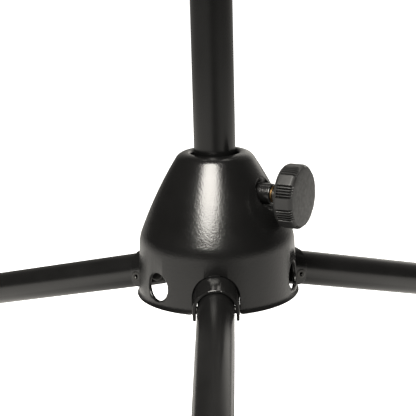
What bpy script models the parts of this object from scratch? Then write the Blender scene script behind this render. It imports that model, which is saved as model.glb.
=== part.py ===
"""Trumpet stand: a pressed hub on three fold-down tubular legs, carrying a sliding
post with an in-bell peg.  Metres, +Z up, floor at Z = 0."""
import math

import bmesh
import bpy
from mathutils import Matrix, Vector

MM = 0.001

# Heights marked "rim" are measured up from the bottom rim of the hub, in millimetres.
RIM_Z = 56.0                 # rim above the floor
LEG_ANGLES = {"front": 0.0, "right": 120.0, "left": 240.0}
CLAMP_ANGLE = 64.0           # knob direction, counted from the front leg

SKIRT_R = 37.2               # hub radius at the rim
SKIRT_TOP_R = 36.0
RIM_FLARE = 0.75             # outward roll of the bottom rim
SKIRT_TOP_Z = 27.2           # rim
SHOULDER_RADIUS = 18.5
CONE_TOP_R = 16.45
CONE_TOP_Z = 66.4            # rim
CONE_BULGE = 1.2
LIP_RADIUS = 6.4
HUB_WALL = 1.6
COLLAR_BORE_R = 11.05
COLLAR_DEPTH = 9.0

SLOT_HALF = 10.4
SLOT_TOP_Z = 17.9            # rim
ACCESS_R = 6.4
ACCESS_Z = 9.8               # rim
ACCESS_OFFSET = -46.5        # from the leg direction, degrees

POST_R = 9.5
POST_WALL = 1.2
POST_BOTTOM = 3.0            # rim
POST_TOP = 300.0             # rim
SLEEVE_BORE_R = 9.6
SLEEVE_R = 10.9
SLEEVE_BOTTOM = 4.0          # rim
SLEEVE_TOP = 60.0            # rim

PIVOT_R = 26.0               # leg hinge axis from the hub axis
PIVOT_Z = 8.4                # rim
LEG_SLOPE = 14.3             # degrees below horizontal
LEG_R = 8.2
LEG_WALL = 1.2
LEG_INNER = -10.8            # tube end inside the hub, along the leg from the pivot
LEG_OUTER = 218.0
PIN_R = 3.0
PIN_HOLE_R = 3.09

SADDLE_HALF = 10.05          # leg saddle, half width over the sheet
SADDLE_SHEET = 1.1
SADDLE_RISE = 0.6            # arch centre above the tube axis
SADDLE_END = 18.0            # lower front corner; the front edge leans back to its top
SADDLE_TOP_END = 15.6
SADDLE_EAR_R = 6.5
RIVET_X = 14.6
RIVET_Z = -1.2
RIVET_R = 1.7

EAR_INNER = 10.4             # carrier ears, lateral faces
EAR_OUTER = 12.0
EAR_END = 31.9
EAR_BOTTOM = 0.8             # rim, beside the core
EAR_LOW = 4.4                # rim, beyond the stop ring
EAR_TOP = 15.6               # rim
CORE_R = 12.1
STOP_RING_R = 17.3
STOP_RING_TOP = 1.9          # rim

CLAMP_Z = 48.8               # rim
BOSS_R = 4.45
BOSS_INNER = 11.4
BOSS_OUTER = 29.2
DISH_FLOOR = 22.4            # recess pressed round the boss, from the hub axis
DISH_FLOOR_R = 5.2
DISH_RIM_R = 8.3             # where the recess would reach the boss end
SCREW_R = 2.95
KNOB_R = 14.5
KNOB_BACK = 35.6
KNOB_FACE = 44.6

PEG_BASE_Z = 246.0           # rim
PEG_TOP_Z = 340.0            # rim


def clear_scene():
    for ob in list(bpy.data.objects):
        bpy.data.objects.remove(ob, do_unlink=True)


def material(name, colour, roughness, metallic=0.0):
    mat = bpy.data.materials.new(name)
    mat.use_nodes = True
    shader = mat.node_tree.nodes["Principled BSDF"]
    shader.inputs["Base Color"].default_value = (*colour, 1.0)
    shader.inputs["Roughness"].default_value = roughness
    shader.inputs["Metallic"].default_value = metallic
    return mat


def add(name, shape, mat, place=None, sharp=32.0):
    """Make an object from (verts in mm, faces); place is its frame in metres."""
    verts, faces = shape
    mesh = bpy.data.meshes.new(name)
    mesh.from_pydata([Vector(v) * MM for v in verts], [], faces)
    bm = bmesh.new()
    bm.from_mesh(mesh)
    bmesh.ops.recalc_face_normals(bm, faces=bm.faces)
    bm.to_mesh(mesh)
    bm.free()
    mesh.shade_smooth()
    mesh.set_sharp_from_angle(angle=math.radians(sharp))
    mesh.materials.append(mat)
    ob = bpy.data.objects.new(name, mesh)
    bpy.context.collection.objects.link(ob)
    if place is not None:
        ob.matrix_world = place
    return ob


def lathe(profile, segs):
    """Revolve (radius, height) points about Z.  A loop closes on itself unless both
    of its ends are on the axis."""
    verts = []
    rings = []
    for r, z in profile:
        if r < 1e-6:
            rings.append([len(verts)] * segs)
            verts.append((0.0, 0.0, z))
            continue
        rings.append(list(range(len(verts), len(verts) + segs)))
        for i in range(segs):
            a = 2.0 * math.pi * i / segs
            verts.append((r * math.cos(a), r * math.sin(a), z))
    open_ends = profile[0][0] < 1e-6 and profile[-1][0] < 1e-6
    faces = []
    for k in range(len(rings) - (1 if open_ends else 0)):
        low = rings[k]
        high = rings[(k + 1) % len(rings)]
        for i in range(segs):
            j = (i + 1) % segs
            loop = []
            for v in (low[i], low[j], high[j], high[i]):
                if v not in loop:
                    loop.append(v)
            if len(loop) > 2:
                faces.append(loop)
    return verts, faces


def sector(profile, start, end, steps):
    """Revolve a closed (radius, height) loop through part of a turn, with flat ends."""
    verts = []
    for i in range(steps + 1):
        a = math.radians(start + (end - start) * i / steps)
        for r, z in profile:
            verts.append((r * math.cos(a), r * math.sin(a), z))
    n = len(profile)
    faces = [list(range(n)), list(range(steps * n, steps * n + n))]
    for i in range(steps):
        for k in range(n):
            m = (k + 1) % n
            faces.append([i * n + k, i * n + m, (i + 1) * n + m, (i + 1) * n + k])
    return verts, faces


def prism(outline, start, end):
    """Extrude an outline of (x, z) points along Y."""
    n = len(outline)
    verts = [(x, start, z) for x, z in outline] + [(x, end, z) for x, z in outline]
    faces = [list(range(n)), list(range(n, 2 * n))]
    for k in range(n):
        m = (k + 1) % n
        faces.append([k, m, n + m, n + k])
    return verts, faces


def swap(shape, order):
    """Reorder the axes of a shape, such as "zxy" for new x = old z."""
    index = ["xyz".index(c) for c in order]
    verts, faces = shape
    return [tuple(v[i] for i in index) for v in verts], faces


def arc(cx, cy, radius, start, end, steps):
    points = []
    for i in range(steps + 1):
        a = math.radians(start + (end - start) * i / steps)
        points.append((cx + radius * math.cos(a), cy + radius * math.sin(a)))
    return points


def fillet(before, corner, after, radius, steps):
    """Points of a rounded corner between two straight runs."""
    p, c, q = Vector(before), Vector(corner), Vector(after)
    a = (p - c).normalized()
    b = (q - c).normalized()
    half = a.angle(b) / 2.0
    centre = c + (a + b).normalized() * (radius / math.sin(half))
    first = c + a * (radius / math.tan(half)) - centre
    last = c + b * (radius / math.tan(half)) - centre
    turn = math.pi - 2.0 * half
    points = []
    for i in range(steps + 1):
        t = i / steps
        d = first * (math.sin((1.0 - t) * turn)) + last * math.sin(t * turn)
        points.append(tuple(centre + d / math.sin(turn)))
    return points


def combine(ob, cutter, operation):
    mod = ob.modifiers.new(cutter.name, "BOOLEAN")
    mod.operation = operation
    mod.solver = "EXACT"
    mod.object = cutter
    cutter.hide_render = True
    cutter.display_type = "WIRE"


def direction_frame(angle, height, radius=0.0):
    """Frame on the hub axis: local X points outward at the angle, Z stays up."""
    turn = Matrix.Rotation(math.radians(angle - 90.0), 4, "Z")
    return Matrix.Translation((0, 0, (RIM_Z + height) * MM)) @ turn @ Matrix.Translation(
        (radius * MM, 0, 0))


def leg_frame(angle):
    """Frame at a leg's pivot: local X runs out along the sloping tube."""
    slope = Matrix.Rotation(math.radians(LEG_SLOPE), 4, "Y")
    return direction_frame(angle, PIVOT_Z, PIVOT_R) @ slope


def clamp_frame():
    """Frame on the clamp axis: local Z points outward from the hub axis."""
    return direction_frame(CLAMP_ANGLE, CLAMP_Z) @ Matrix.Rotation(math.radians(90), 4, "Y")


def hub_profile():
    """Outer outline of the hub from the rim up to the collar bore, as (r, z)."""
    foot = Vector((SKIRT_TOP_R, SKIRT_TOP_Z))
    top = Vector((CONE_TOP_R, CONE_TOP_Z))
    run = top - foot
    out = Vector((run.y, -run.x)).normalized()
    crown = []
    for t in (0.34, 0.54, 0.76):
        crown.append(tuple(foot + run * t + out * (4.0 * CONE_BULGE * t * (1.0 - t))))
    lead = tuple(foot + run * 0.12 + out * (4.0 * CONE_BULGE * 0.12))
    points = [(SKIRT_R + RIM_FLARE, 0.0), (SKIRT_R + 0.3 * RIM_FLARE, 1.2), (SKIRT_R, 2.6)]
    points += fillet((SKIRT_R, 0.0), tuple(foot), lead, SHOULDER_RADIUS, 4)
    points += crown
    points += fillet(crown[-1], tuple(top), (0.0, CONE_TOP_Z), LIP_RADIUS, 3)
    points += arc(COLLAR_BORE_R + 1.5, CONE_TOP_Z - 1.5, 1.5, 90.0, 180.0, 2)
    return points


def inset(points, distance):
    """Offset an open outline towards the hub axis side."""
    result = []
    for i, p in enumerate(points):
        a = Vector(points[max(i - 1, 0)])
        b = Vector(points[min(i + 1, len(points) - 1)])
        run = (b - a).normalized()
        result.append((p[0] - run.y * distance, p[1] + run.x * distance))
    return result


def build_hub(black, steel, nylon, brass):
    outer = hub_profile()
    neck_r = COLLAR_BORE_R + 1.3
    inner = []
    for r, z in inset(outer[:-7], HUB_WALL):
        inner.append((r, max(z, 0.0)))
    inner.append((neck_r + 2.6, CONE_TOP_Z - 2.4))
    inner.append((neck_r, CONE_TOP_Z - 3.6))
    loop = outer + [(COLLAR_BORE_R, CONE_TOP_Z - COLLAR_DEPTH),
                    (neck_r, CONE_TOP_Z - COLLAR_DEPTH)] + inner[::-1]
    hub = add("hub_housing", lathe(loop, 60), black, direction_frame(90.0, 0.0), 40.0)

    slot = [(-SLOT_HALF, -6.0), (SLOT_HALF, -6.0)]
    slot += arc(0.0, SLOT_TOP_Z - SLOT_HALF, SLOT_HALF, 0.0, 180.0, 10)
    for leg, angle in LEG_ANGLES.items():
        cutter = add("cut_slot_" + leg, swap(prism(slot, 26.0, 44.0), "yxz"), black,
                     direction_frame(angle, 0.0))
        combine(hub, cutter, "DIFFERENCE")
        disc = [(0.0, 28.0), (ACCESS_R, 28.0), (ACCESS_R, 44.0), (0.0, 44.0)]
        cutter = add("cut_access_" + leg, swap(lathe(disc, 20), "zxy"), black,
                     direction_frame(angle + ACCESS_OFFSET, ACCESS_Z))
        combine(hub, cutter, "DIFFERENCE")
    press_dish(hub, outer, black)
    disc = [(0.0, 14.0), (BOSS_R + 0.15, 14.0), (BOSS_R + 0.15, 40.0), (0.0, 40.0)]
    cutter = add("cut_boss", lathe(disc, 20), black, clamp_frame())
    combine(hub, cutter, "DIFFERENCE")

    sleeve = add("guide_sleeve", lathe([
        (SLEEVE_BORE_R, SLEEVE_BOTTOM), (SLEEVE_R, SLEEVE_BOTTOM),
        (SLEEVE_R, SLEEVE_TOP - 0.6), (SLEEVE_R - 0.5, SLEEVE_TOP),
        (SLEEVE_BORE_R, SLEEVE_TOP)], 40),
        nylon, direction_frame(90.0, 0.0))
    disc = [(0.0, 8.0), (3.4, 8.0), (3.4, 14.0), (0.0, 14.0)]
    cutter = add("cut_sleeve", lathe(disc, 16), black, clamp_frame())
    combine(sleeve, cutter, "DIFFERENCE")

    add("clamp_boss", lathe([
        (3.75, BOSS_INNER), (BOSS_R, BOSS_INNER), (BOSS_R, BOSS_OUTER - 0.5),
        (BOSS_R - 0.4, BOSS_OUTER), (3.75, BOSS_OUTER)], 20), black, clamp_frame())
    add("thread_insert", lathe([
        (3.06, 20.0), (3.65, 20.0), (3.65, BOSS_OUTER + 0.9), (3.06, BOSS_OUTER + 0.9)], 20),
        brass, clamp_frame())
    build_carrier(steel)


def press_dish(hub, outer, black):
    """Recess pressed into the cone round the clamp boss, with its own wall behind."""
    lean = (DISH_RIM_R - DISH_FLOOR_R) / (BOSS_OUTER - DISH_FLOOR)
    reach = 36.0
    wide = DISH_FLOOR_R + lean * (reach - DISH_FLOOR)
    back = DISH_FLOOR - HUB_WALL
    wall = HUB_WALL * 0.8
    cup = add("join_dish", lathe([
        (0.0, back), (DISH_FLOOR_R + wall, back), (wide + wall, reach), (0.0, reach)], 28),
        black, clamp_frame())
    body = [(0.0, 1.0)] + inset(outer[:-5], HUB_WALL * 0.4) + [(0.0, CONE_TOP_Z - 1.0)]
    limit = add("limit_dish", lathe(body, 60), black, direction_frame(90.0, 0.0))
    combine(cup, limit, "INTERSECT")
    combine(hub, cup, "UNION")
    hollow = [(0.0, DISH_FLOOR), (DISH_FLOOR_R, DISH_FLOOR), (wide, reach), (0.0, reach)]
    cutter = add("cut_dish", lathe(hollow, 28), black, clamp_frame())
    combine(hub, cutter, "DIFFERENCE")


def build_carrier(steel):
    """Spider inside the hub: a ring, three pairs of ears and the legs' stop ring."""
    outline = []
    for angle in (30.0, 150.0, 270.0):
        turn = Matrix.Rotation(math.radians(angle), 2)
        corner = (9.0, EAR_INNER)
        side = arc(0.0, 0.0, CORE_R, -40.0, 40.0, 6)
        points = [(EAR_END, -EAR_OUTER), (EAR_END, -EAR_INNER), (corner[0], -corner[1])]
        points += side
        points += [corner, (EAR_END, EAR_INNER), (EAR_END, EAR_OUTER)]
        vertex = EAR_OUTER / math.cos(math.radians(30.0))
        points.append((vertex * math.cos(math.radians(60)), vertex * math.sin(math.radians(60))))
        for p in points:
            outline.append(tuple(turn @ Vector(p)))
    carrier = add("leg_carrier", swap(prism(outline, EAR_BOTTOM, EAR_TOP), "xzy"), steel,
                  direction_frame(90.0, 0.0))
    disc = [(0.0, 0.4), (STOP_RING_R, 0.4), (STOP_RING_R, STOP_RING_TOP), (0.0, STOP_RING_TOP)]
    ring = add("join_stop_ring", lathe(disc, 36), steel, direction_frame(90.0, 0.0))
    combine(carrier, ring, "UNION")
    disc = [(0.0, -4.0), (SLEEVE_R + 0.15, -4.0), (SLEEVE_R + 0.15, 30.0), (0.0, 30.0)]
    cutter = add("cut_core", lathe(disc, 40), steel, direction_frame(90.0, 0.0))
    combine(carrier, cutter, "DIFFERENCE")
    disc = [(STOP_RING_R + 0.5, -4.0), (40.0, -4.0), (40.0, EAR_LOW), (STOP_RING_R + 0.5, EAR_LOW)]
    cutter = add("cut_ear_underside", lathe(disc, 36), steel, direction_frame(90.0, 0.0))
    combine(carrier, cutter, "DIFFERENCE")
    for leg, angle in LEG_ANGLES.items():
        bar = [(0.0, -16.0), (PIN_HOLE_R, -16.0), (PIN_HOLE_R, 16.0), (0.0, 16.0)]
        cutter = add("cut_pin_" + leg, swap(lathe(bar, 20), "xzy"), steel,
                     direction_frame(angle, PIVOT_Z, PIVOT_R))
        combine(carrier, cutter, "DIFFERENCE")


def build_leg(leg, angle, mats):
    black, dark, rubber = mats
    frame = leg_frame(angle)
    side = EAR_OUTER + 0.15
    add("leg_pin_" + leg, swap(lathe([
        (0.0, -side - 2.0), (3.8, -side - 2.0), (4.6, -side - 1.0), (4.6, -side),
        (PIN_R, -side), (PIN_R, side), (4.3, side), (4.0, side + 1.5),
        (0.0, side + 1.5)], 20), "xzy"), dark, frame)

    tube = add("leg_tube_" + leg, swap(lathe([
        (LEG_R - LEG_WALL, LEG_INNER), (LEG_R, LEG_INNER),
        (LEG_R, LEG_OUTER), (LEG_R - LEG_WALL, LEG_OUTER)], 28), "zxy"), black, frame)
    bars = {"pin": (0.0, 0.0, PIN_HOLE_R), "rivet": (RIVET_X, RIVET_Z, RIVET_R + 0.08)}
    cutters = []
    for key, (x, z, r) in bars.items():
        bar = [(0.0, -14.0), (r, -14.0), (r, 14.0), (0.0, 14.0)]
        steps = 20 if key == "pin" else 12
        place = frame @ Matrix.Translation((x * MM, 0, z * MM))
        cutters.append(add("cut_%s_hole_%s" % (key, leg), swap(lathe(bar, steps), "xzy"),
                           dark, place))
    for cutter in cutters:
        combine(tube, cutter, "DIFFERENCE")

    inner_half = SADDLE_HALF - SADDLE_SHEET
    section = [(-SADDLE_HALF, -12.0), (-inner_half, -12.0)]
    section += arc(0.0, SADDLE_RISE, inner_half, 180.0, 0.0, 10)
    section += [(inner_half, -12.0), (SADDLE_HALF, -12.0)]
    section += arc(0.0, SADDLE_RISE, SADDLE_HALF, 0.0, 180.0, 10)
    saddle = add("leg_saddle_" + leg, swap(prism(section, -9.0, SADDLE_END + 3.0), "yxz"),
                 black, frame)
    side_shape = arc(0.0, 0.0, SADDLE_EAR_R, 90.0, 270.0, 8)
    side_shape += arc(SADDLE_END - 4.0, -2.7, 4.0, 270.0, 360.0, 3)
    side_shape += [(SADDLE_TOP_END, 11.4), (6.0, 11.4), (4.4, SADDLE_EAR_R)]
    guide = add("cut_side_" + leg, prism(side_shape, -13.0, 13.0), black, frame)
    combine(saddle, guide, "INTERSECT")
    for cutter in cutters:
        combine(saddle, cutter, "DIFFERENCE")

    grip = SADDLE_HALF + 0.08
    place = frame @ Matrix.Translation((RIVET_X * MM, 0, RIVET_Z * MM))
    add("leg_rivet_" + leg, swap(lathe([
        (0.9, -grip - 0.2), (2.2, -grip - 0.2), (2.5, -grip), (RIVET_R, -grip),
        (RIVET_R, grip), (2.5, grip), (2.2, grip + 0.2), (0.9, grip + 0.2)], 12), "xzy"),
        dark, place)

    end = LEG_OUTER + 0.3
    outline = [(LEG_R + 0.12, end - 29.0), (10.2, end - 29.0), (10.7, end - 20.0),
               (12.3, end - 16.0)]
    outline += [(r, x) for x, r in arc(end + 1.0, 7.5, 5.0, 90.0, 0.0, 4)]
    outline += [(0.0, end + 6.0), (0.0, end), (LEG_R + 0.12, end)]
    foot = add("foot_" + leg, swap(lathe_pole(outline), "zxy"), rubber, frame, 40.0)
    trim_to_floor(foot)


def lathe_pole(outline):
    """Revolve an outline whose run along the axis is closed by two poles."""
    start = outline.index(min(outline, key=lambda p: (p[0], p[1])))
    ordered = outline[start:] + outline[:start]
    return lathe(ordered, 28)


def trim_to_floor(ob):
    """Cut the piece off flat at the floor."""
    back = ob.matrix_world.inverted()
    bm = bmesh.new()
    bm.from_mesh(ob.data)
    normal = (back.to_3x3() @ Vector((0, 0, 1))).normalized()
    geometry = bm.verts[:] + bm.edges[:] + bm.faces[:]
    cut = bmesh.ops.bisect_plane(bm, geom=geometry, plane_co=back @ Vector((0, 0, 0)),
                                 plane_no=normal, clear_inner=True, dist=1e-7)
    rim = [e for e in cut["geom_cut"] if isinstance(e, bmesh.types.BMEdge)]
    bmesh.ops.contextual_create(bm, geom=rim)
    bmesh.ops.recalc_face_normals(bm, faces=bm.faces)
    bm.to_mesh(ob.data)
    bm.free()
    ob.data.set_sharp_from_angle(angle=math.radians(40.0))


def build_mast(black, plastic, felt, rubber):
    frame = direction_frame(90.0, 0.0)
    add("post_tube", lathe([
        (POST_R - POST_WALL, POST_BOTTOM), (POST_R, POST_BOTTOM),
        (POST_R, POST_TOP), (POST_R - POST_WALL, POST_TOP)], 40), black, frame)
    plug_r = POST_R - POST_WALL - 0.1
    low = POST_BOTTOM - 0.1
    add("post_plug", lathe([
        (0.0, low - 2.0), (POST_R - 0.9, low - 2.0), (POST_R - 0.1, low - 1.3),
        (POST_R - 0.1, low), (plug_r, low), (plug_r, low + 10.0),
        (plug_r - 0.8, low + 11.0), (0.0, low + 11.0)], 24), plastic, frame)

    base = PEG_BASE_Z
    bore = POST_R + 0.1
    add("peg_base", lathe([
        (bore, base - 14.0), (14.2, base - 14.0), (15.2, base - 2.0), (24.0, base - 0.6),
        (24.6, base + 0.4), (24.6, base + 3.0), (bore, base + 3.0)], 36), plastic, frame)
    add("peg_felt_ring", lathe([
        (17.3, base + 3.2), (23.8, base + 3.2), (23.4, base + 6.2),
        (17.3, base + 6.2)], 36), felt, frame)
    bottom = base + 3.2
    top = PEG_TOP_Z
    add("peg_body", lathe([
        (bore, bottom), (17.0, bottom), (17.0, bottom + 4.0), (11.4, top - 3.0),
        (10.6, top), (0.0, top), (0.0, POST_TOP + 0.3), (bore, POST_TOP + 0.3)], 36),
        plastic, frame)
    for i in range(4):
        slope = (17.0 - 11.4) / (top - 3.0 - bottom - 4.0)
        z0 = bottom + 6.0
        z1 = top - 6.0
        r0 = 17.0 - slope * (z0 - bottom - 4.0) + 0.2
        r1 = 17.0 - slope * (z1 - bottom - 4.0) + 0.2
        strip = [(r0, z0), (r0 + 1.4, z0 + 0.8), (r1 + 1.4, z1 - 0.8), (r1, z1)]
        add("peg_felt_strip_%d" % (i + 1), sector(strip, 90.0 * i + 23.0, 90.0 * i + 67.0, 6),
            felt, frame)
    add("peg_cap", lathe([
        (0.0, top + 0.2), (10.6, top + 0.2), (10.9, top + 1.0), (9.6, top + 4.6),
        (6.2, top + 7.2), (0.0, top + 8.2)], 24), rubber, frame)


def build_clamp(plastic, steel, nylon):
    frame = clamp_frame()
    add("pressure_pad", lathe([
        (0.0, POST_R + 0.06), (2.5, POST_R + 0.06), (2.8, POST_R + 0.4),
        (2.8, 12.4), (0.0, 12.4)], 16), nylon, frame)
    add("clamp_screw", lathe([
        (0.0, 12.5), (2.3, 12.5), (SCREW_R, 13.2), (SCREW_R, 39.0), (0.0, 39.0)], 20),
        steel, frame)
    bore = SCREW_R + 0.1
    back = KNOB_BACK
    face = KNOB_FACE
    add("knob", lathe([
        (0.0, 39.2), (bore, 39.2), (bore, back - 2.4), (5.8, back - 2.4), (6.2, back),
        (12.9, back), (KNOB_R, back + 1.8), (KNOB_R, face - 1.4), (KNOB_R - 1.8, face),
        (0.0, face + 0.3)], 40), plastic, frame)


def centre_on_origin():
    """Shift everything in Y so that the footprint is centred on the origin."""
    bpy.context.view_layer.update()
    low = min((foot_end(ob).y for ob in feet("front")))
    high = max((foot_end(ob).y for ob in feet("right")))
    shift = Matrix.Translation((0.0, -(low + high) / 2.0, 0.0))
    for ob in bpy.data.objects:
        ob.matrix_world = shift @ ob.matrix_world


def feet(leg):
    ob = bpy.data.objects["foot_" + leg]
    return [(ob, v.co) for v in ob.data.vertices]


def foot_end(pair):
    ob, co = pair
    return ob.matrix_world @ co


def main():
    clear_scene()
    black = material("black_powder_coat", (0.02, 0.02, 0.021), 0.42)
    gloss = material("black_saddle_coat", (0.02, 0.02, 0.02), 0.3)
    steel = material("zinc_steel", (0.62, 0.62, 0.6), 0.35, 1.0)
    blackened = material("blackened_steel", (0.05, 0.05, 0.05), 0.45, 0.6)
    brass = material("brass", (0.72, 0.52, 0.22), 0.3, 1.0)
    nylon = material("black_nylon", (0.03, 0.03, 0.03), 0.55)
    plastic = material("knob_plastic", (0.04, 0.04, 0.043), 0.6)
    felt = material("felt", (0.05, 0.05, 0.055), 0.95)
    rubber = material("rubber", (0.025, 0.025, 0.025), 0.8)
    build_hub(black, blackened, nylon, brass)
    for leg, angle in LEG_ANGLES.items():
        build_leg(leg, angle, (gloss, blackened, rubber))
    build_mast(black, plastic, felt, rubber)
    build_clamp(plastic, steel, nylon)
    centre_on_origin()


main()
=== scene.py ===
"""Looks of the trumpet stand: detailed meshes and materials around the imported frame."""

import math

import bmesh
import bpy
from mathutils import Matrix, Vector


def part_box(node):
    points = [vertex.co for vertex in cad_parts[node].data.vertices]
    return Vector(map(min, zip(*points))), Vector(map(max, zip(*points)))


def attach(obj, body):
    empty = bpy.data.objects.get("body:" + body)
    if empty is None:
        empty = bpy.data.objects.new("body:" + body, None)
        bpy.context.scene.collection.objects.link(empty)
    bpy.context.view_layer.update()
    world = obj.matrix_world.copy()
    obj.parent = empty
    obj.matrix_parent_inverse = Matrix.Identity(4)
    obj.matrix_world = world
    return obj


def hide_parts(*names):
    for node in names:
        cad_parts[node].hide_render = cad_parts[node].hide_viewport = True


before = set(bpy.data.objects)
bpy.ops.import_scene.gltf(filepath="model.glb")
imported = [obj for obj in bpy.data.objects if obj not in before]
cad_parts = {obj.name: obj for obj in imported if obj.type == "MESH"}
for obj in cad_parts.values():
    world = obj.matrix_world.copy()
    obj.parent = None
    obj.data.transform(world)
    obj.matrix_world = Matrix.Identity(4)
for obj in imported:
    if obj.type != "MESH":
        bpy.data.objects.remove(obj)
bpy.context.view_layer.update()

MM = 0.001
post_low, post_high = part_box("post_tube")
HUB_X = (post_low[0] + post_high[0]) / 2.0
HUB_Y = (post_low[1] + post_high[1]) / 2.0
RIM_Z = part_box("hub_housing")[0][2]

# Angles in degrees round the hub from the front leg; 90 is to the right.
LEGS = {"front": 0.0, "right": 120.0, "left": 240.0}
CLAMP_ANGLE = 64.0

# Millimetres from here on; heights are above the hub's rim.
CLAMP_Z = 48.8
SKIRT_R = 37.2
SKIRT_TOP_R = 36.0
SKIRT_TOP_Z = 27.2
RIM_FLARE = 0.75               # outward roll of the bottom rim
FLARE_HEIGHT = 2.6
SHOULDER_RADIUS = 18.5
CONE_TOP_R = 16.45
CONE_TOP_Z = 66.4
CONE_BULGE = 1.2
LIP_RADIUS = 5.6
HUB_WALL = 1.6
COLLAR_BORE_R = 11.05
COLLAR_DEPTH = 9.0
SLOT_HALF = 10.4
SLOT_TOP_Z = 17.9
ACCESS_R = 6.4
ACCESS_Z = 9.8
ACCESS_OFFSET = -46.5          # degrees from the leg direction

POST_R = 9.5
POST_BOTTOM = 3.0
POST_TOP = 300.0
SLEEVE_BORE_R = 9.6
SLEEVE_R = 10.9

PIVOT_R = 26.0
PIVOT_Z = 8.4
LEG_SLOPE = 14.3               # degrees
LEG_R = 8.2
LEG_INNER = -10.8              # tube ends, from the pivot
LEG_OUTER = 218.0
TUBE_WALL = 1.2
PIN_R = 3.0
EAR_OUTER = 12.0
SADDLE_HALF = 10.25
SADDLE_SHEET = 1.3
SADDLE_HUG = 0.35              # extra closeness of the arch to the tube
CROWN_LIFT = 2.3               # crown height added at the hinge pin
CROWN_FALL = 0.222             # and lost again along the tube
SADDLE_RISE = 0.6              # arch centre above the tube axis
SADDLE_END = 18.0              # lower outer corner; the outer edge leans back to its top
SADDLE_TOP_END = 15.6
RIVET_X = 14.6                 # from the pivot
RIVET_Z = -1.2

BOSS_R = 4.8
BOSS_BORE_R = 3.75
BOSS_OUTER = 29.2
DISH_R = 26.0                  # cone radius at the clamp height
DISH_TILT = 26.5               # upward lean of the cone surface there, degrees
DISH_DEPTH = 3.9
DISH_FLOOR_R = 5.0
DISH_RIM_R = 7.9
SCREW_R = 2.95
SCREW_START = 12.5
THREAD_END = 33.4
SCREW_END = 39.0
THREAD_DEPTH = 0.55
KNOB_R = 14.5
KNOB_BACK = 34.7
KNOB_FACE = 44.25
KNOB_BORE_END = 39.2
KNOB_GROUPS = 8                # groups of grip grooves, with a flat land before each
LAND_DEGREES = 18.0
LAND_PHASE = -7.0
GROOVES = 5                    # in each group
GROOVE_DEPTH = 1.7

PEG_BASE_Z = 246.0
PEG_TOP_Z = 340.0
PEG_R = 17.0                   # peg radius at its base and top
PEG_TOP_R = 11.4
FELT_RING_R = 24.0


# ---------------------------------------------------------------- frames

def direction_frame(angle, height, radius=0.0):
    """Frame on the hub axis: local X points outward at the angle, Z stays up."""
    turn = Matrix.Rotation(math.radians(angle - 90.0), 4, "Z")
    base = Matrix.Translation((HUB_X, HUB_Y, RIM_Z + height * MM))
    return base @ turn @ Matrix.Translation((radius * MM, 0, 0))


def leg_frame(angle):
    """Frame at a leg's pivot: local X runs out along the sloping tube."""
    slope = Matrix.Rotation(math.radians(LEG_SLOPE), 4, "Y")
    return direction_frame(angle, PIVOT_Z, PIVOT_R) @ slope


def clamp_frame():
    """Frame on the clamp axis: local Z points outward from the hub axis."""
    return direction_frame(CLAMP_ANGLE, CLAMP_Z) @ Matrix.Rotation(math.radians(90), 4, "Y")


HUB_FRAME = direction_frame(90.0, 0.0)


# ---------------------------------------------------------------- shapes

ON_AXIS = 1e-6
POLE = ()


def lathe(profile, segs):
    """Revolve (radius, height) points about Z.  A loop closes on itself unless both
    of its ends are on the axis."""
    levels = [(POLE if r < ON_AXIS else [r] * segs, z) for r, z in profile]
    open_ends = profile[0][0] < ON_AXIS and profile[-1][0] < ON_AXIS
    return stack(levels, segs, not open_ends)


def stack(levels, segs, closed=False):
    """Join levels of (radii, height) about Z, with one radius for each point or POLE."""
    verts = []
    rings = []
    for radii, z in levels:
        if radii is POLE:
            rings.append([len(verts)] * segs)
            verts.append((0.0, 0.0, z))
            continue
        rings.append(list(range(len(verts), len(verts) + segs)))
        for i, r in enumerate(radii):
            a = 2.0 * math.pi * i / segs
            verts.append((r * math.cos(a), r * math.sin(a), z))
    return verts, ring_faces(rings, segs, closed)


def ring_faces(rings, segs, closed):
    """Faces between rings of vertex numbers; repeated corners at a pole are dropped."""
    faces = []
    for k in range(len(rings) - (0 if closed else 1)):
        low = rings[k]
        high = rings[(k + 1) % len(rings)]
        for i in range(segs):
            j = (i + 1) % segs
            loop = []
            for v in (low[i], low[j], high[j], high[i]):
                if v not in loop:
                    loop.append(v)
            if len(loop) > 2:
                faces.append(loop)
    return faces


def sector(profile, start, end, steps):
    """Revolve a closed (radius, height) loop through part of a turn, with flat ends."""
    verts = []
    for i in range(steps + 1):
        a = math.radians(start + (end - start) * i / steps)
        for r, z in profile:
            verts.append((r * math.cos(a), r * math.sin(a), z))
    return verts, skin(len(profile), steps)


def skin(n, steps):
    """Faces of a run of n-point sections: the two ends and the sides between them."""
    faces = [list(range(n)), list(range(steps * n, steps * n + n))]
    for s in range(steps):
        for k in range(n):
            m = (k + 1) % n
            faces.append([s * n + k, s * n + m, (s + 1) * n + m, (s + 1) * n + k])
    return faces


def prism(outline, start, end):
    """Extrude an outline of (x, z) points along Y."""
    verts = [(x, y, z) for y in (start, end) for x, z in outline]
    return verts, skin(len(outline), 1)


def swap(shape, order):
    """Reorder the axes of a shape, such as "zxy" for new x = old z."""
    index = ["xyz".index(c) for c in order]
    verts, faces = shape
    return [tuple(v[i] for i in index) for v in verts], faces


def arc(cx, cy, radius, start, end, steps):
    """Points of an arc between two angles in degrees."""
    points = []
    for i in range(steps + 1):
        a = math.radians(start + (end - start) * i / steps)
        points.append((cx + radius * math.cos(a), cy + radius * math.sin(a)))
    return points


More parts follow.
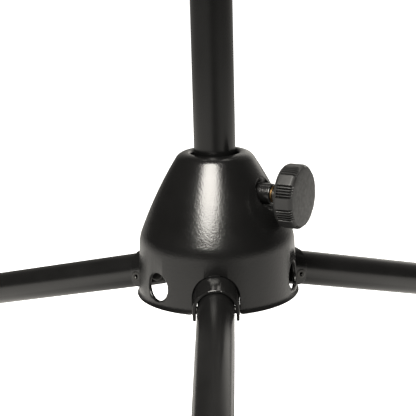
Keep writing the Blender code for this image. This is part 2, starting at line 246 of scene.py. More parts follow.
def fillet(before, corner, after, radius, steps):
    """Points of a rounded corner between two straight runs."""
    p, c, q = Vector(before), Vector(corner), Vector(after)
    a = (p - c).normalized()
    b = (q - c).normalized()
    half = a.angle(b) / 2.0
    centre = c + (a + b).normalized() * (radius / math.sin(half))
    first = c + a * (radius / math.tan(half)) - centre
    last = c + b * (radius / math.tan(half)) - centre
    turn = math.pi - 2.0 * half
    points = []
    for i in range(steps + 1):
        t = i / steps
        d = first * (math.sin((1.0 - t) * turn)) + last * math.sin(t * turn)
        points.append(tuple(centre + d / math.sin(turn)))
    return points


def rounded(points, radius, steps=3):
    """Round every corner of a closed loop; radius may be one value or one per corner."""
    result = []
    n = len(points)
    for i, p in enumerate(points):
        r = radius[i] if isinstance(radius, (list, tuple)) else radius
        before = points[i - 1]
        after = points[(i + 1) % n]
        if r <= 0.0 or p[0] < ON_AXIS:
            result.append(p)
        else:
            result += fillet(before, p, after, r, steps)
    return result


# ---------------------------------------------------------------- objects

SHARP_DEGREES = 35.0


def make_object(name, shape, mat, place, sharp=SHARP_DEGREES):
    """Mesh object from a shape in millimetres; edges over the sharp angle stay crisp."""
    verts, faces = shape
    mesh = bpy.data.meshes.new(name)
    mesh.from_pydata([Vector(v) * MM for v in verts], [], faces)
    bm = bmesh.new()
    bm.from_mesh(mesh)
    bmesh.ops.recalc_face_normals(bm, faces=bm.faces)
    bm.to_mesh(mesh)
    bm.free()
    mesh.shade_smooth()
    mesh.set_sharp_from_angle(angle=math.radians(sharp))
    mesh.materials.append(mat)
    ob = bpy.data.objects.new(name, mesh)
    bpy.context.collection.objects.link(ob)
    ob.matrix_world = place
    return ob


def bake_modifiers(ob):
    """Turn the object's modifiers into its mesh."""
    bpy.context.view_layer.update()
    graph = bpy.context.evaluated_depsgraph_get()
    mesh = bpy.data.meshes.new_from_object(ob.evaluated_get(graph))
    ob.modifiers.clear()
    ob.data = mesh


def cut(ob, cutters, operation="DIFFERENCE"):
    """Cut a piece with other meshes, which are then removed."""
    for cutter in cutters:
        mod = ob.modifiers.new("cut", "BOOLEAN")
        mod.operation = operation
        mod.solver = "EXACT"
        mod.object = cutter
    bake_modifiers(ob)
    for cutter in cutters:
        bpy.data.objects.remove(cutter, do_unlink=True)
    ob.data.shade_smooth()
    ob.data.set_sharp_from_angle(angle=math.radians(SHARP_DEGREES))


def soften(ob, width, segments):
    """Round the sharp edges of a piece."""
    mod = ob.modifiers.new("soften", "BEVEL")
    mod.width = width * MM
    mod.segments = segments
    mod.limit_method = "ANGLE"
    mod.angle_limit = math.radians(40.0)
    mod.use_clamp_overlap = False
    mod.harden_normals = True


def finish_piece(ob, body, node):
    """Move the placement into the mesh, attach the piece to its body and hide the CAD node it
    replaces.
    """
    ob.data.transform(ob.matrix_world)
    ob.matrix_world = Matrix.Identity(4)
    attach(ob, body)
    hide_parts(node)


# ---------------------------------------------------------------- materials

def map_range(tree, value, low, high, start, end):
    """Map a value between start and end onto low to high."""
    node = tree.nodes.new("ShaderNodeMapRange")
    node.inputs["From Min"].default_value = start
    node.inputs["From Max"].default_value = end
    node.inputs["To Min"].default_value = low
    node.inputs["To Max"].default_value = high
    tree.links.new(value, node.inputs["Value"])
    return node.outputs["Result"]


def mix_colours(tree, factor, first, second):
    """Mix node between two colours."""
    node = tree.nodes.new("ShaderNodeMix")
    node.data_type = "RGBA"
    node.inputs["A"].default_value = (*first, 1.0)
    node.inputs["B"].default_value = (*second, 1.0)
    tree.links.new(factor, node.inputs["Factor"])
    return node


class Graph:
    """Small helper that adds shader nodes and links them."""

    def __init__(self, name):
        self.mat = bpy.data.materials.new(name)
        self.mat.use_nodes = True
        self.tree = self.mat.node_tree
        self.nodes = self.tree.nodes
        self.links = self.tree.links
        self.shader = self.nodes["Principled BSDF"]
        self.where = self.nodes.new("ShaderNodeTexCoord").outputs["Object"]

    def set(self, **values):
        """Set sockets of the shader, with underscores for the spaces in their names."""
        for key, value in values.items():
            self.shader.inputs[key.replace("_", " ")].default_value = value

    def noise(self, scale, detail=2.0, rough=0.5):
        """Noise factor over the piece's own coordinates, in metres."""
        node = self.nodes.new("ShaderNodeTexNoise")
        node.inputs["Scale"].default_value = scale
        node.inputs["Detail"].default_value = detail
        node.inputs["Roughness"].default_value = rough
        self.links.new(self.where, node.inputs["Vector"])
        return node.outputs["Fac"]

    def spread(self, fac, low, high, start=0.35, end=0.65):
        """Map a noise factor onto a range of values."""
        return map_range(self.tree, fac, low, high, start, end)

    def tint(self, fac, dark, light):
        """Vary the base colour between two colours."""
        node = mix_colours(self.tree, fac, dark, light)
        self.feed("Base Color", node.outputs["Result"])

    def feed(self, socket, value):
        """Link a value to a socket of the shader."""
        self.links.new(value, self.shader.inputs[socket])

    def bump(self, height, distance, strength):
        """Bump the surface by a height factor; distance is in metres."""
        node = self.nodes.new("ShaderNodeBump")
        node.inputs["Strength"].default_value = strength
        node.inputs["Distance"].default_value = distance
        self.links.new(height, node.inputs["Height"])
        self.feed("Normal", node.outputs["Normal"])


def tint_grey(g, scale, grey):
    """Vary a grey a little over the surface."""
    g.tint(g.spread(g.noise(scale), 0.0, 1.0), (grey * 0.85,) * 3, (grey * 1.15,) * 3)


def powder_coat(name, grey, low, high, peel, specular=0.5):
    """Powder coat with a roughness range and a strength of orange peel."""
    g = Graph(name)
    g.set(Specular_IOR_Level=specular)
    tint_grey(g, 60.0, grey)
    g.feed("Roughness", g.spread(g.noise(160.0), low, high))
    g.bump(g.noise(1150.0), 0.000115, peel)
    return g.mat


def moulded_plastic(name, grey, roughness, grain):
    g = Graph(name)
    tint_grey(g, 90.0, grey)
    g.feed("Roughness", g.spread(g.noise(500.0, 3.0), roughness - 0.06, roughness + 0.06))
    g.bump(g.noise(2600.0, 2.0, 0.6), 0.00006, grain)
    return g.mat


def metal(name, colour, low, high):
    """Bare metal with a roughness range."""
    g = Graph(name)
    dark = tuple(c * 0.82 for c in colour)
    g.tint(g.spread(g.noise(300.0, 3.0), 0.0, 1.0), dark, colour)
    g.set(Metallic=1.0)
    g.feed("Roughness", g.spread(g.noise(700.0, 3.0, 0.6), low, high))
    g.bump(g.noise(1500.0), 0.00003, 0.3)
    return g.mat


def felt_cloth():
    g = Graph("felt")
    g.tint(g.spread(g.noise(1800.0, 4.0, 0.7), 0.0, 1.0), (0.012,) * 3, (0.035,) * 3)
    g.set(Roughness=0.95, Sheen_Weight=0.35, Sheen_Roughness=0.6)
    g.bump(g.noise(1500.0, 5.0, 0.75), 0.0004, 0.7)
    return g.mat


def rubber_skin():
    g = Graph("rubber")
    g.tint(g.spread(g.noise(120.0, 3.0), 0.0, 1.0), (0.014,) * 3, (0.026,) * 3)
    g.feed("Roughness", g.spread(g.noise(420.0, 3.0), 0.62, 0.82))
    g.bump(g.noise(2200.0, 2.0, 0.6), 0.00008, 0.35)
    return g.mat


HUB_COAT = powder_coat("hub_coat", 0.0045, 0.215, 0.235, 0.62)
LEG_COAT = powder_coat("leg_coat", 0.006, 0.24, 0.27, 0.07)
SADDLE_COAT = powder_coat("saddle_coat", 0.006, 0.15, 0.17, 0.03)
POST_COAT = powder_coat("post_coat", 0.004, 0.22, 0.25, 0.06, 0.36)
BLACKENED = metal("blackened_steel", (0.075, 0.074, 0.072), 0.3, 0.45)
# painted shade: the zinc-plated screw gets a dark colour for the shade it sits in between the
# boss and the knob
ZINC_PAINTED_SHADE = metal("zinc_steel", (0.22, 0.21, 0.19), 0.4, 0.5)
# painted shade: the brass insert gets a dark colour for the shade it sits in at the end of the
# boss
BRASS_PAINTED_SHADE = metal("brass", (0.13, 0.08, 0.035), 0.4, 0.5)
NYLON = moulded_plastic("nylon", 0.012, 0.5, 0.2)
KNOB_PLASTIC = moulded_plastic("knob_plastic", 0.017, 0.46, 0.4)
PEG_PLASTIC = moulded_plastic("peg_plastic", 0.016, 0.5, 0.35)
FELT = felt_cloth()
RUBBER = rubber_skin()


# ---------------------------------------------------------------- hub

LIP_POINTS = 17                # points of the outline that belong to the rolled lip


def skirt_radius(z):
    """Outer radius of the skirt at a height above the rim."""
    flare = RIM_FLARE * max(0.0, 1.0 - z / FLARE_HEIGHT) ** 2
    return SKIRT_R + (SKIRT_TOP_R - SKIRT_R) * z / SKIRT_TOP_Z + flare


def hub_outline():
    """Outer outline of the hub from the rim up to the collar bore."""
    foot = Vector((SKIRT_TOP_R, SKIRT_TOP_Z))
    top = Vector((CONE_TOP_R, CONE_TOP_Z))
    run = top - foot
    out = Vector((run.y, -run.x)).normalized()

    def crown(t):
        """Point of the slightly bulged cone, t running from its foot to its top."""
        return tuple(foot + run * t + out * (4.0 * CONE_BULGE * t * (1.0 - t)))

    lead = tuple(foot + run * 0.12 + out * (4.0 * CONE_BULGE * 0.12))
    points = [(skirt_radius(z), z) for z in (
        0.45, 0.7, 1.0, 1.35, 1.7, 2.1, 2.6, 3.2, 6.0, 9.0, 12.0, 15.0)]
    points += fillet((SKIRT_R, 0.0), tuple(foot), lead, SHOULDER_RADIUS, 18)
    last = points[-1][1]
    # the shoulder's fillet already covers the lowest of these
    for i in range(61):
        p = crown(0.15 + 0.65 * i / 60)
        if p[1] > last + 0.4:
            points.append(p)
    points += fillet(points[-1], tuple(top), (0.0, CONE_TOP_Z), LIP_RADIUS, 10)
    points += arc(COLLAR_BORE_R + 1.5, CONE_TOP_Z - 1.5, 1.5, 90.0, 180.0, 6)
    return points


def boss_dish(point):
    """Shift of a shell point near the clamp boss: a round recess pressed into the cone."""
    bearing = math.radians(CLAMP_ANGLE - 90.0)
    tilt = math.radians(DISH_TILT)
    out = Vector((math.cos(bearing), math.sin(bearing), 0.0))
    normal = out * math.cos(tilt) + Vector((0.0, 0.0, math.sin(tilt)))
    away = Vector(point) - out * DISH_R - Vector((0.0, 0.0, CLAMP_Z))
    depth = away.dot(normal)
    if depth < -6.0:
        return Vector((0.0, 0.0, 0.0))
    d = (away - normal * depth).length
    t = min(1.0, max(0.0, (DISH_RIM_R - d) / (DISH_RIM_R - DISH_FLOOR_R)))
    return normal * (-DISH_DEPTH * math.sin(t * math.pi / 2.0) ** 1.05)


def skirt_cutter(outline, angle, name):
    """Cutter through the skirt whose edges flare, so that the cut edges come out round."""
    # (distance outside the skirt, growth of the outline)
    stations = [(-4.0, 0.5), (-HUB_WALL, 0.4), (-HUB_WALL + 0.15, 0.16), (-HUB_WALL + 0.4, 0.0),
                (-0.45, 0.0), (-0.2, 0.12), (-0.05, 0.34), (0.05, 0.5), (3.0, 1.2)]
    n = len(outline)
    verts = []
    for reach, grow in stations:
        for k in range(n):
            x0, z0 = outline[k - 1]
            x1, z1 = outline[k]
            x2, z2 = outline[(k + 1) % n]
            tangent = Vector((x2 - x0, z2 - z0)).normalized()
            x = x1 + tangent.y * grow
            z = z1 - tangent.x * grow
            radius = skirt_radius(z1) + reach
            verts.append((math.sqrt(max(radius * radius - x * x, 1.0)), x, z))
    shape = (verts, skin(n, len(stations) - 1))
    return make_object(name, shape, HUB_COAT, direction_frame(angle, 0.0))


def hub_loop():
    """Closed (radius, height) loop of the hub shell's wall."""
    outer = hub_outline()
    neck = COLLAR_BORE_R + 1.3
    inner = []
    for i, (r, z) in enumerate(outer[:-LIP_POINTS]):
        if i % 3 == 0 and z > 2.0:
            a = Vector(outer[max(i - 1, 0)])
            b = Vector(outer[i + 1])
            run = (b - a).normalized()
            inner.append((r - run.y * HUB_WALL, z + run.x * HUB_WALL))
    inner.append((neck + 2.6, CONE_TOP_Z - 2.4))
    inner.append((neck, CONE_TOP_Z - 3.6))
    edge = SKIRT_R + RIM_FLARE
    loop = arc(edge - 1.15, 0.5, 0.5, 180.0, 270.0, 4)
    loop += arc(edge - 0.4, 0.4, 0.4, 270.0, 345.0, 4)
    loop += outer
    loop += [(COLLAR_BORE_R, CONE_TOP_Z - COLLAR_DEPTH), (neck, CONE_TOP_Z - COLLAR_DEPTH)]
    return loop + inner[::-1]


def slot_outline():
    """Arch-topped slot, open at the rim, whose lower corners round outward."""
    flare = []
    for i in range(5):
        z = 1.2 * (1.0 - i / 4.0)
        flare.append((SLOT_HALF + 1.2 - math.sqrt(max(1.44 - (1.2 - z) ** 2, 0.0)), z))
    right = [(SLOT_HALF, 4.0)] + flare + [(SLOT_HALF + 1.2, -4.0)]
    slot = arc(0.0, SLOT_TOP_Z - SLOT_HALF, SLOT_HALF, 180.0, 0.0, 40) + right
    slot += [(-x, z) for x, z in reversed(right)]
    return slot[::-1]


def build_hub():
    verts, faces = lathe(hub_loop(), 320)
    verts = [tuple(Vector(v) + boss_dish(v)) for v in verts]
    hub = make_object("hub_shell", (verts, faces), HUB_COAT, HUB_FRAME)
    slot = slot_outline()
    cutters = []
    for leg, angle in LEGS.items():
        cutters.append(skirt_cutter(slot, angle, "slot_" + leg))
        hole = arc(0.0, ACCESS_Z, ACCESS_R, 0.0, 360.0, 40)[:-1]
        cutters.append(skirt_cutter(hole, angle + ACCESS_OFFSET, "hole_" + leg))
    disc = [(0.0, 14.0), (BOSS_R - 0.2, 14.0), (BOSS_R - 0.2, 40.0), (0.0, 40.0)]
    cutters.append(make_object("boss_hole", lathe(disc, 48), HUB_COAT, clamp_frame()))
    cut(hub, cutters)
    finish_piece(hub, "hub", "hub_housing")


def build_hub_inside():
    sleeve = make_object("post_sleeve", lathe(rounded([
        (SLEEVE_BORE_R, 4.0), (SLEEVE_R, 4.0), (SLEEVE_R, 60.0), (SLEEVE_BORE_R, 60.0)],
        0.4), 96), NYLON, HUB_FRAME)
    disc = [(0.0, 8.0), (3.4, 8.0), (3.4, 14.0), (0.0, 14.0)]
    cut(sleeve, [make_object("hole", lathe(disc, 32), NYLON, clamp_frame())])
    finish_piece(sleeve, "hub", "guide_sleeve")

    # the CAD's own carrier is kept and only coloured
    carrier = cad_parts["leg_carrier"]
    carrier.data.materials.clear()
    carrier.data.materials.append(BLACKENED)

    boss = make_object("screw_boss", lathe(
        [(BOSS_BORE_R, 11.4), (BOSS_R, 11.4)]
        + arc(BOSS_R - 0.7, BOSS_OUTER - 0.7, 0.7, 0.0, 90.0, 5)
        + arc(BOSS_BORE_R + 0.3, BOSS_OUTER - 0.3, 0.3, 90.0, 180.0, 3), 72),
        HUB_COAT, clamp_frame())
    finish_piece(boss, "hub", "clamp_boss")

    insert = make_object("brass_insert", lathe(rounded([
        (3.06, 20.0), (3.65, 20.0), (3.65, BOSS_OUTER + 0.6), (3.06, BOSS_OUTER + 0.6)],
        [0, 0, 0.2, 0.2]), 64), BRASS_PAINTED_SHADE, clamp_frame())
    finish_piece(insert, "hub", "thread_insert")


# ---------------------------------------------------------------- legs

def build_leg(leg, angle):
    body = "leg_" + leg
    place = leg_frame(angle)
    side = EAR_OUTER + 0.15
    pin_head = [(0.0, -side - 2.0)] + arc(2.6, -side - 0.9, 2.0, -80.0, 0.0, 6)
    pin = make_object("hinge_pin_" + leg, swap(lathe(
        pin_head + [(4.6, -side), (PIN_R, -side), (PIN_R, side), (4.3, side)]
        + arc(3.3, side + 0.5, 1.0, 0.0, 90.0, 5) + [(0.0, side + 1.5)], 48), "xzy"),
        BLACKENED, place)
    finish_piece(pin, "hub", "leg_pin_" + leg)

    tube = make_object("leg_" + leg + "_tube", swap(lathe(rounded([
        (LEG_R - TUBE_WALL, LEG_INNER), (LEG_R, LEG_INNER), (LEG_R, LEG_OUTER),
        (LEG_R - TUBE_WALL, LEG_OUTER)], 0.3), 96), "zxy"), LEG_COAT, place)
    cut(tube, drill(leg, place))
    finish_piece(tube, body, "leg_tube_" + leg)

    saddle = build_saddle(leg, place)
    finish_piece(saddle, body, "leg_saddle_" + leg)

    grip = SADDLE_HALF + 0.05
    head = [(0.95, -grip - 0.1), (1.3, -grip - 0.22), (2.0, -grip - 0.18), (2.45, -grip)]
    tail = [(r, -y) for r, y in reversed(head)]
    rivet = make_object("rivet_" + leg, swap(lathe(
        [(0.75, -grip + 1.6), (0.7, -grip + 0.2)] + head + [(1.7, -grip), (1.7, grip)] + tail
        + [(0.7, grip - 0.2), (0.75, grip - 1.6)], 40), "xzy"), BLACKENED,
        place @ Matrix.Translation((RIVET_X * MM, 0, RIVET_Z * MM)))
    finish_piece(rivet, body, "leg_rivet_" + leg)
    build_foot(leg, place, body)


def drill(leg, place):
    """Cutters for the pivot and rivet holes of a leg."""
    cutters = []
    for x, z, r in ((0.0, 0.0, 3.12), (RIVET_X, RIVET_Z, 1.78)):
        bar = [(0.0, -14.0), (r, -14.0), (r, 14.0), (0.0, 14.0)]
        at = place @ Matrix.Translation((x * MM, 0, z * MM))
        cutters.append(make_object("drill", swap(lathe(bar, 36), "xzy"), LEG_COAT, at))
    return cutters


def build_saddle(leg, place):
    """Bent sheet over the tube: an arched section, raised at the crown and cut to shape."""
    inner = SADDLE_HALF - SADDLE_SHEET
    section = [(-SADDLE_HALF, -12.0), (-inner, -12.0), (-inner, -1.5)]
    section += [(x * (1.0 - SADDLE_HUG / inner), z)
                for x, z in arc(0.0, SADDLE_RISE, inner, 180.0, 0.0, 44)]
    section += [(inner, -1.5), (inner, -12.0), (SADDLE_HALF, -12.0)]
    section += arc(0.0, SADDLE_RISE, SADDLE_HALF, 0.0, 180.0, 44)
    verts, faces = swap(prism(section, -9.0, SADDLE_END + 3.0), "yxz")
    crown = SADDLE_RISE + SADDLE_HALF
    verts = [(x, y, z + (CROWN_LIFT - CROWN_FALL * x)
              * max(0.0, z - SADDLE_RISE) / (crown - SADDLE_RISE)) for x, y, z in verts]
    saddle = make_object("saddle_" + leg, (verts, faces), SADDLE_COAT, place)
    side = arc(0.0, 0.0, 6.5, 90.0, 270.0, 24)
    side += arc(SADDLE_END - 4.0, -2.7, 4.0, 270.0, 360.0, 10)
    side += [(SADDLE_TOP_END, 11.8), (6.4, 11.5)] + arc(3.0, 9.9, 3.4, 0.0, -90.0, 6)
    guide = make_object("guide", prism(side, -13.0, 13.0), SADDLE_COAT, place)
    cut(saddle, [guide], "INTERSECT")
    cut(saddle, drill(leg, place))
    soften(saddle, 0.34, 4)
    return saddle


def build_foot(leg, place, body):
    """Ribbed rubber boot, revolved as (radius, distance from the pivot) and cut at the floor."""
    end = LEG_OUTER + 0.3
    outline = [(LEG_R + 0.12, end - 29.0)]
    outline += arc(9.5, end - 28.3, 0.7, -90.0, 0.0, 4)
    for i in range(3):
        z = end - 26.2 + 2.4 * i
        outline += [(10.35, z - 0.5), (10.0, z), (10.0, z + 0.6), (10.45, z + 1.1)]
    outline += [(10.7, end - 18.6)]
    outline += fillet((10.7, end - 18.6), (11.0, end - 17.0), (12.4, end - 14.5), 1.5, 4)
    outline += fillet((11.0, end - 17.0), (12.4, end - 14.6), (12.5, end - 4.0), 1.5, 4)
    outline += [(r, x) for x, r in arc(end + 1.0, 7.5, 5.0, 90.0, 0.0, 10)]
    outline += [(0.0, end + 6.0)]
    outline = [(0.0, end)] + [(LEG_R + 0.12, end)] + outline
    foot = make_object("rubber_foot_" + leg, swap(lathe(outline, 96), "zxy"), RUBBER, place, 40.0)
    trim_to_floor(foot)
    finish_piece(foot, body, "foot_" + leg)


def trim_to_floor(ob):
    """Cut the piece off flat at the floor."""
    back = ob.matrix_world.inverted()
    bm = bmesh.new()
    bm.from_mesh(ob.data)
    normal = (back.to_3x3() @ Vector((0, 0, 1))).normalized()
    geometry = bm.verts[:] + bm.edges[:] + bm.faces[:]
    cut_off = bmesh.ops.bisect_plane(bm, geom=geometry, plane_co=back @ Vector((0, 0, 0)),
                                     plane_no=normal, clear_inner=True, dist=1e-7)
    edge = [e for e in cut_off["geom_cut"] if isinstance(e, bmesh.types.BMEdge)]
    bmesh.ops.contextual_create(bm, geom=edge)
    bmesh.ops.recalc_face_normals(bm, faces=bm.faces)
    bm.to_mesh(ob.data)
    bm.free()
    ob.data.set_sharp_from_angle(angle=math.radians(40.0))


# ---------------------------------------------------------------- mast

def build_mast():
    post = make_object("post", lathe(rounded([
        (POST_R - TUBE_WALL, POST_BOTTOM), (POST_R, POST_BOTTOM), (POST_R, POST_TOP),
        (POST_R - TUBE_WALL, POST_TOP)], 0.3), 128), POST_COAT, HUB_FRAME)
    finish_piece(post, "mast", "post_tube")

    plug_r = POST_R - 1.3
    low = POST_BOTTOM - 0.1
    plug = make_object("end_plug", lathe([(0.0, low - 2.0)] + rounded([
        (0.0, low - 2.0), (POST_R - 0.1, low - 2.0), (POST_R - 0.1, low), (plug_r, low),
        (plug_r, low + 11.0), (0.0, low + 11.0)], [0, 1.0, 0.1, 0, 0.8, 0])[1:], 64),
        NYLON, HUB_FRAME)
    finish_piece(plug, "mast", "post_plug")

    base = PEG_BASE_Z
    bore = POST_R + 0.1
    collar = make_object("peg_collar", lathe(rounded([
        (bore, base - 14.0), (14.2, base - 14.0), (15.2, base - 2.0), (24.6, base - 0.6),
        (24.6, base + 3.0), (bore, base + 3.0)], [0.3, 1.0, 1.6, 1.2, 1.0, 0]), 96),
        PEG_PLASTIC, HUB_FRAME)
    finish_piece(collar, "mast", "peg_base")

    ring = make_object("felt_ring", lathe(rounded([
        (PEG_R + 0.3, base + 3.2), (FELT_RING_R, base + 3.2), (FELT_RING_R, base + 6.2),
        (PEG_R + 0.3, base + 6.2)],
        [0.2, 0.3, 1.0, 0.6]), 96), FELT, HUB_FRAME)
    finish_piece(ring, "mast", "peg_felt_ring")

    bottom = base + 3.2
    top = PEG_TOP_Z
    slope = (PEG_R - PEG_TOP_R) / (top - 3.0 - bottom - 4.0)
    core = make_object("peg_core", lathe(
        [(0.0, POST_TOP + 0.3), (bore, POST_TOP + 0.3), (bore, bottom)] + rounded([
            (bore, bottom), (PEG_R, bottom), (PEG_R, bottom + 4.0), (PEG_TOP_R, top - 3.0),
            (10.6, top), (0.0, top)], [0, 0.3, 1.0, 1.5, 0.5, 0])[1:], 96),
        PEG_PLASTIC, HUB_FRAME)
    finish_piece(core, "mast", "peg_body")

    z0 = bottom + 6.0
    z1 = top - 6.0
    r0 = PEG_R - slope * (z0 - bottom - 4.0) + 0.15
    r1 = PEG_R - slope * (z1 - bottom - 4.0) + 0.15
    strip = [(r0, z0), (r0 + 1.4, z0 + 0.5), (r1 + 1.4, z1 - 0.5), (r1, z1)]
    for i in range(4):
        pad = make_object("felt_strip_%d" % (i + 1),
                          sector(strip, 90.0 * i + 23.0, 90.0 * i + 67.0, 24), FELT, HUB_FRAME)
        soften(pad, 0.45, 3)
        finish_piece(pad, "mast", "peg_felt_strip_%d" % (i + 1))

    cap = make_object("rubber_cap", lathe(
        [(0.0, top + 0.2)] + rounded([
            (0.0, top + 0.2), (10.9, top + 0.2), (10.9, top + 1.6), (8.6, top + 6.2),
            (0.0, top + 8.2)], [0, 0.3, 0.8, 3.0, 0], 6)[1:], 96), RUBBER, HUB_FRAME)
    finish_piece(cap, "mast", "peg_cap")


# ---------------------------------------------------------------- clamp

def thread_radius(angle, z):
    """Radius of an M6 thread at an angle (turns) and height (millimetres)."""
    phase = (z - angle) % 1.0
    ridge = min(1.0, max(0.0, 1.15 - abs(phase - 0.5) * 2.6))
    return SCREW_R - THREAD_DEPTH + THREAD_DEPTH * ridge


def build_screw():
    segs = 40
    steps_per_turn = 8
    levels = [(POLE, SCREW_START)]
    for k in range(int((THREAD_END - SCREW_START) * steps_per_turn) + 1):
        z = SCREW_START + k / steps_per_turn
        taper = min(1.0, 0.72 + 0.28 * (z - SCREW_START) / 1.2)
        levels.append(([thread_radius(i / segs, z) * taper for i in range(segs)], z))
    levels += [([SCREW_R - THREAD_DEPTH] * segs, SCREW_END), (POLE, SCREW_END)]
    screw = make_object("threaded_rod", stack(levels, segs), ZINC_PAINTED_SHADE, clamp_frame(), 50.0)
    finish_piece(screw, "clamp_knob", "clamp_screw")

    pad = make_object("screw_pad", lathe(
        [(0.0, POST_R + 0.06)] + rounded([
            (0.0, POST_R + 0.06), (2.8, POST_R + 0.06), (2.8, 12.4), (0.0, 12.4)],
            [0, 0.4, 0.3, 0])[1:], 40), NYLON, clamp_frame())
    finish_piece(pad, "clamp_pad", "pressure_pad")


def knob_edge(degrees):
    """(flat inset, groove depth) of the knob's edge at an angle."""
    step = 360.0 / KNOB_GROUPS
    a = (degrees - LAND_PHASE) % step
    if a < LAND_DEGREES:
        half = math.radians(LAND_DEGREES / 2.0)
        off = math.radians(a - LAND_DEGREES / 2.0)
        return KNOB_R * (1.0 - math.cos(half) / math.cos(off)), 0.0
    t = (a - LAND_DEGREES) / (step - LAND_DEGREES) * (GROOVES + 0.25) - 0.125
    phase = abs(t % 1.0 - 0.5) * 2.0 if 0.0 <= t <= GROOVES else 1.0
    return 0.0, GROOVE_DEPTH * min(1.0, max(0.0, (0.72 - phase) / 0.22))


def build_knob():
    segs = 720
    back, face = KNOB_BACK, KNOB_FACE
    bore = SCREW_R + 0.1
    # (radius, height, share of the flats, share of the grooves)
    rows = [(bore, back - 2.7, 0, 0), (5.3, back - 2.7, 0, 0), (5.8, back - 2.2, 0, 0),
            (6.2, back - 0.3, 0, 0), (6.8, back, 0, 0), (11.8, back, 0, 0),
            (12.7, back + 0.1, 0, 0), (13.6, back + 0.5, 0.2, 0), (14.2, back + 1.1, 0.5, 0),
            (14.45, back + 1.7, 0.9, 0), (KNOB_R, back + 1.95, 1, 0), (KNOB_R, back + 2.15, 1, 1),
            (KNOB_R, face - 1.95, 1, 1), (14.45, face - 1.65, 1, 0.9), (14.2, face - 1.1, 1, 0.6),
            (13.7, face - 0.5, 1, 0.2), (13.2, face - 0.12, 0.9, 0), (12.6, face, 0.6, 0),
            (10.0, face + 0.1, 0.1, 0), (5.0, face + 0.25, 0, 0)]
    edge = [knob_edge(360.0 * i / segs) for i in range(segs)]
    levels = [(POLE, KNOB_BORE_END), ([bore] * segs, KNOB_BORE_END)]
    for radius, z, flats, grooves in rows:
        levels.append(([radius - flat * flats - groove * grooves for flat, groove in edge], z))
    levels.append((POLE, face + 0.3))
    knob = make_object("hand_knob", stack(levels, segs), KNOB_PLASTIC, clamp_frame(), 38.0)
    finish_piece(knob, "clamp_knob", "knob")


# ---------------------------------------------------------------- studio

WARM = (1.0, 0.965, 0.90)
WHITE = (1.0, 1.0, 1.0)

# Floor glow seen in reflections: (bearing round the hub in degrees, strength).
FLOOR_GLOW = ((-180, 0.3), (-150, 0.75), (-134, 1.25), (-104, 1.3), (-86, 1.3), (-60, 1.3),
              (-30, 1.15), (-19, 1.0), (-10, 0.6), (-1, 0.22), (10, 0.17), (22, 0.42),
              (40, 0.85), (64, 1.05), (90, 1.3), (138, 1.45), (150, 1.1), (180, 0.3))
GLOW_PEAK = 2.0                # the ramp holds values up to 1, so the gain is applied later
GLOW_FADE = (0.25, 0.9)        # metres from the origin over which the glow fades
GLOW_FAR = 0.34                # share of the glow left beyond that
SHADE_REACH = (0.03, 0.15)     # metres from the hub axis over which the glow sets in
SHADE_LEAST = 0.15             # share of the glow right below the hub
SEEN_REACH = (0.35, 1.2)       # metres over which the floor brightens towards the camera
SEEN_LEVELS = (0.92, 1.05)


def length_of(tree, vector):
    node = tree.nodes.new("ShaderNodeVectorMath")
    node.operation = "LENGTH"
    tree.links.new(vector, node.inputs[0])
    return node.outputs["Value"]


def multiply(tree, first, second):
    node = tree.nodes.new("ShaderNodeMath")
    node.operation = "MULTIPLY"
    tree.links.new(first, node.inputs[0])
    tree.links.new(second, node.inputs[1])
    return node.outputs["Value"]


def colour_ramp(tree, factor, stops, interpolation="LINEAR"):
    """Colour ramp through stops of (position, RGB colour)."""
    node = tree.nodes.new("ShaderNodeValToRGB")
    ramp = node.color_ramp
    ramp.interpolation = interpolation
    while len(ramp.elements) < len(stops):
        ramp.elements.new(0.5)
    for stop, (position, colour) in zip(ramp.elements, stops):
        stop.position = position
        stop.color = (*colour, 1.0)
    tree.links.new(factor, node.inputs["Fac"])
    return node.outputs["Color"]


def build_floor():
    """Pale floor.  The camera sees it evenly lit; reflections see a glow that varies
    with the bearing round the hub, as in the photographed studio."""
    bpy.ops.mesh.primitive_circle_add(vertices=96, radius=9.0, fill_type="NGON",
                                      location=(0.0, 0.0, -0.0004))
    floor = bpy.context.object
    floor.name = "studio_floor"
    mat = bpy.data.materials.new("studio_floor")
    mat.use_nodes = True
    tree = mat.node_tree
    nodes = tree.nodes
    links = tree.links
    shader = nodes["Principled BSDF"]
    shader.inputs["Roughness"].default_value = 0.9
    shader.inputs["Specular IOR Level"].default_value = 0.0
    seen = nodes.new("ShaderNodeLightPath").outputs["Is Camera Ray"]
    coords = nodes.new("ShaderNodeTexCoord").outputs["Object"]

    turned = nodes.new("ShaderNodeMapping")
    turned.inputs["Location"].default_value = (HUB_Y, 0.0, 0.0)
    turned.inputs["Rotation"].default_value = (0.0, 0.0, math.radians(90.0))
    links.new(coords, turned.inputs["Vector"])
    bearing = nodes.new("ShaderNodeTexGradient")
    bearing.gradient_type = "RADIAL"
    links.new(turned.outputs["Vector"], bearing.inputs["Vector"])
    stops = [(0.5 + degrees / 360.0, (level / GLOW_PEAK,) * 3) for degrees, level in FLOOR_GLOW]
    glow = colour_ramp(tree, bearing.outputs["Fac"], stops, "CARDINAL")

    reach = length_of(tree, coords)
    fade = map_range(tree, reach, GLOW_PEAK, GLOW_FAR * GLOW_PEAK, *GLOW_FADE)
    near = length_of(tree, turned.outputs["Vector"])
    shade = map_range(tree, near, SHADE_LEAST, 1.0, *SHADE_REACH)
    direct = map_range(tree, reach, *SEEN_LEVELS, *SEEN_REACH)
    strength = nodes.new("ShaderNodeMix")
    links.new(seen, strength.inputs["Factor"])
    links.new(multiply(tree, glow, multiply(tree, fade, shade)), strength.inputs["A"])
    links.new(direct, strength.inputs["B"])
    links.new(strength.outputs["Result"], shader.inputs["Emission Strength"])
    base = mix_colours(tree, seen, (0.05, 0.05, 0.05), (0.9, 0.9, 0.9))
    links.new(base.outputs["Result"], shader.inputs["Base Color"])
    emission = mix_colours(tree, seen, WARM, WHITE)
    links.new(emission.outputs["Result"], shader.inputs["Emission Color"])
    floor.data.materials.append(mat)


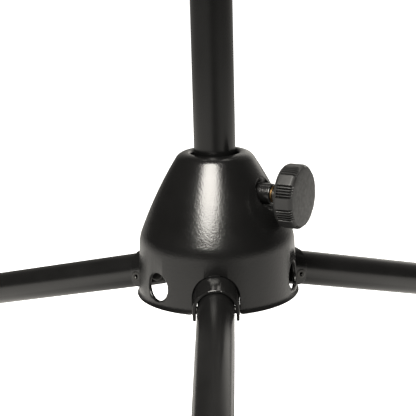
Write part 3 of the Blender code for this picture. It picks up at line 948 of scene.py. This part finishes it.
# Backdrop brightness in reflections: (cosine from the lit side of the backdrop, strength).
BACKDROP_GLOW = ((0.0, 0.035), (0.5, 0.055), (0.7, 0.18), (0.82, 0.24), (0.9, 0.38),
                 (0.94, 0.6), (0.96, 1.05), (1.0, 1.3))
BACKDROP_LIT_SIDE = (0.34, 0.925, 0.17)


def build_studio():
    """White backdrop with a graded glow in reflections, a soft key light and a fill."""
    build_floor()
    world = bpy.data.worlds.new("studio")
    bpy.context.scene.world = world
    world.use_nodes = True
    tree = world.node_tree
    nodes = tree.nodes
    links = tree.links
    coords = nodes.new("ShaderNodeTexCoord")
    toward = nodes.new("ShaderNodeVectorMath")
    toward.operation = "DOT_PRODUCT"
    toward.inputs[1].default_value = Vector(BACKDROP_LIT_SIDE).normalized()
    links.new(coords.outputs["Generated"], toward.inputs[0])
    stops = [(position, tuple(level * c for c in WARM)) for position, level in BACKDROP_GLOW]
    behind = colour_ramp(tree, toward.outputs["Value"], stops)
    seen = nodes.new("ShaderNodeLightPath")
    sky = mix_colours(tree, seen.outputs["Is Camera Ray"], WHITE, WHITE)
    links.new(behind, sky.inputs["A"])
    links.new(sky.outputs["Result"], nodes["Background"].inputs["Color"])

    target = Vector((HUB_X, HUB_Y, RIM_Z + 0.04))
    area_light("key_softbox", target, azimuth=-14.5, elevation=47.0, distance=1.1,
               size=(0.66, 0.76), power=31.0)
    area_light("top_fill", target, azimuth=170.0, elevation=74.0, distance=1.6,
               size=(0.9, 0.5), power=3.0)


def area_light(name, target, azimuth, elevation, distance, size, power):
    """Soft elliptical light aimed at the target; azimuth 0 is in front of the object."""
    a = math.radians(azimuth - 90.0)
    e = math.radians(elevation)
    away = Vector((math.cos(a) * math.cos(e), math.sin(a) * math.cos(e), math.sin(e)))
    data = bpy.data.lights.new(name, "AREA")
    data.shape = "ELLIPSE"
    data.size, data.size_y = size
    data.energy = power
    data.color = WARM
    light = bpy.data.objects.new(name, data)
    light.location = target + away * distance
    light.rotation_euler = (-away).to_track_quat("-Z", "Y").to_euler()
    bpy.context.collection.objects.link(light)
    light.visible_camera = False


def build_camera():
    """Camera fitted to the photograph; distances and the aim are in millimetres."""
    turn = math.radians(2.05)
    elevation = math.radians(14.13)
    roll = math.radians(-1.5)
    distance = 535.1
    aim = Vector((-3.78, 0.0, 39.72))
    forward = Vector((0.0, math.cos(elevation), -math.sin(elevation)))
    side = Vector((1.0, 0.0, 0.0))
    up = side.cross(forward)
    right = side * math.cos(roll) + up * math.sin(roll)
    top = up * math.cos(roll) - side * math.sin(roll)
    spin = Matrix.Rotation(turn, 3, "Z")
    place = spin @ (aim - forward * distance) * MM
    axes = Matrix((spin @ right, spin @ top, -(spin @ forward))).transposed()
    data = bpy.data.cameras.new("camera")
    data.lens = 99.85
    data.sensor_width = 36.0
    camera = bpy.data.objects.new("camera", data)
    camera.matrix_world = Matrix.Translation(
        Vector((HUB_X, HUB_Y, RIM_Z)) + place) @ axes.to_4x4()
    bpy.context.collection.objects.link(camera)
    bpy.context.scene.camera = camera


build_hub()
build_hub_inside()
for leg_name, leg_angle in LEGS.items():
    build_leg(leg_name, leg_angle)
build_mast()
build_screw()
build_knob()
build_studio()
build_camera()
bpy.context.scene.view_settings.view_transform = "Standard"
